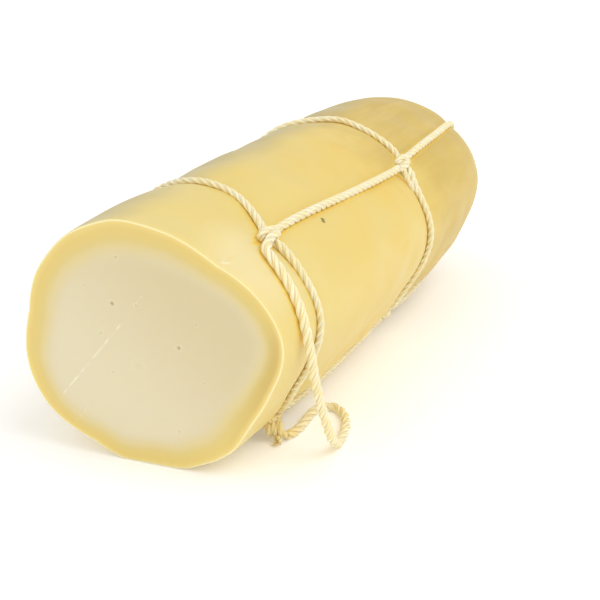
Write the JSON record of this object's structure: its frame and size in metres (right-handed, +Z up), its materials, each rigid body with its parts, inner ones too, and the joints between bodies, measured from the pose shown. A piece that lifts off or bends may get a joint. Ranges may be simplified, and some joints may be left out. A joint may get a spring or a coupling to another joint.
{
  "type": "provolone cheese",
  "caption": "Provolone cheese log on its side, one end rounded and the other cut, tied with twisted cord in rings and lengthwise runs hitched where they cross, one knotted end loose",
  "frame": {"origin": "on the surface it lies on, under the middle of the tied log (the loose cord not counted)", "axes": "+Y along the log from its cut end to its rounded end, +Z up"},
  "size_m": [0.1332, 0.3468, 0.1223],
  "materials": {
    "cheese": "waxy, soft sheen",
    "cord": "twisted natural fibre"
  },
  "bodies": {
    "root": {"cheese": "cheese", "front_ring_1": "cord", "rear_ring_1": "cord", "side_cord_1": "cord", "end_cord_1": "cord", "front_hitch_1": "cord", "rear_hitch_1": "cord", "front_ring_2": "cord", "rear_ring_2": "cord", "side_cord_2": "cord", "end_cord_2": "cord", "front_hitch_2": "cord", "rear_hitch_2": "cord", "front_ring_3": "cord", "rear_ring_3": "cord", "side_cord_3": "cord", "end_cord_3": "cord", "front_hitch_3": "cord", "rear_hitch_3": "cord", "front_ring_4": "cord", "rear_ring_4": "cord", "side_cord_4": "cord", "end_cord_4": "cord", "front_hitch_4": "cord", "rear_hitch_4": "cord", "tip_hitch": "cord", "loose_cord": "cord", "loose_knot": "cord"}
  },
  "joints": []
}
